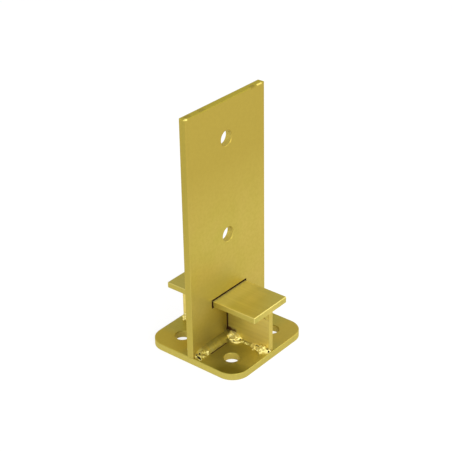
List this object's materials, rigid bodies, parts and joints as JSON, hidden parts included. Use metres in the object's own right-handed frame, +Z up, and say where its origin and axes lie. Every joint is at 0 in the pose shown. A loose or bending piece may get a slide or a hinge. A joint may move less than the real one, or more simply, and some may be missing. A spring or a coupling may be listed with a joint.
{
  "type": "timber post base",
  "caption": "Bolt-down steel base for a slotted timber post: square plate, upright blade with bolt holes, and a T-shaped seat through its foot.",
  "frame": {"origin": "centre of the base plate's underside, the face that sits on the concrete", "axes": "+Z up along the blade; the blade's broad faces look along -Y (front) and +Y (rear) and its width runs along X; the T-shaped seat runs along Y"},
  "size_m": [0.09, 0.09, 0.206],
  "materials": {
    "zinc_plated_steel": "satin yellow-passivated zinc plating",
    "zinc_plated_weld": "rippled weld metal under the same yellow zinc plating, brighter"
  },
  "bodies": {
    "root": {"base_plate": "zinc_plated_steel", "blade": "zinc_plated_steel", "seat_tee": "zinc_plated_steel", "weld_front_left": "zinc_plated_weld", "weld_front_right": "zinc_plated_weld", "weld_rear_left": "zinc_plated_weld", "weld_rear_right": "zinc_plated_weld", "weld_seat_front": "zinc_plated_weld", "weld_seat_rear": "zinc_plated_weld"}
  },
  "joints": []
}
